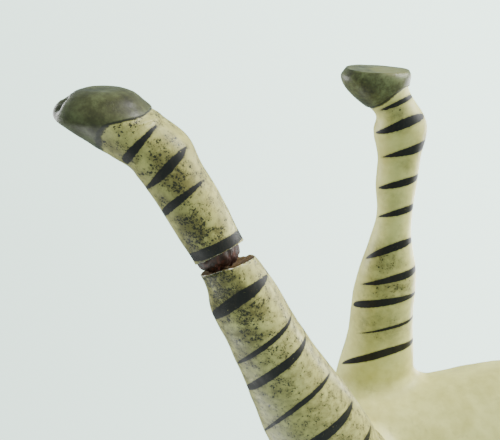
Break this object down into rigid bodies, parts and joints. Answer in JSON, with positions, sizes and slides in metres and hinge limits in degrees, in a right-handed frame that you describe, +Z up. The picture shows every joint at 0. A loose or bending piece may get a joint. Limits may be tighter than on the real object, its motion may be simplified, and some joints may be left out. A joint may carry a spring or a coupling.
{
  "type": "carved zebra statue",
  "caption": "Standing carved and painted wooden zebra with doweled legs and neck; the right foreleg is broken below the knee and its foot sits loose on the stub.",
  "frame": {"origin": "under the middle of the statue's box, on the surface that it stands on", "axes": "+Z up, the animal faces -Y, its left side is +X"},
  "size_m": [0.092, 0.381, 0.4036],
  "materials": {
    "painted_wood": "aged cream oil paint on gesso over wood, black brushed stripes, grey-green hooves, worn semi-gloss",
    "bare_wood": "raw turned dowel",
    "dark_core": "rough broken red-brown heartwood",
    "black_bead": "polished black bead"
  },
  "bodies": {
    "statue": {"trunk": "painted_wood", "neck_and_head": "painted_wood", "left_ear": "painted_wood", "right_ear": "painted_wood", "left_foreleg": "painted_wood", "right_foreleg": "painted_wood", "left_hindleg": "painted_wood", "right_hindleg": "painted_wood", "tail": "painted_wood", "neck_dowel": "bare_wood", "left_foreleg_dowel": "bare_wood", "right_foreleg_dowel": "bare_wood", "left_hindleg_dowel": "bare_wood", "right_hindleg_dowel": "bare_wood", "left_eye": "black_bead", "right_eye": "black_bead"},
    "broken_foot": {"right_fore_foot": "painted_wood", "foot_plug": "dark_core"}
  },
  "joints": [
    {"name": "right_fore_foot_pull", "type": "slide", "parent": "statue", "child": "broken_foot", "axis": [0, -0.4438, -0.8961], "range_m": [0, 0.03]}
  ]
}
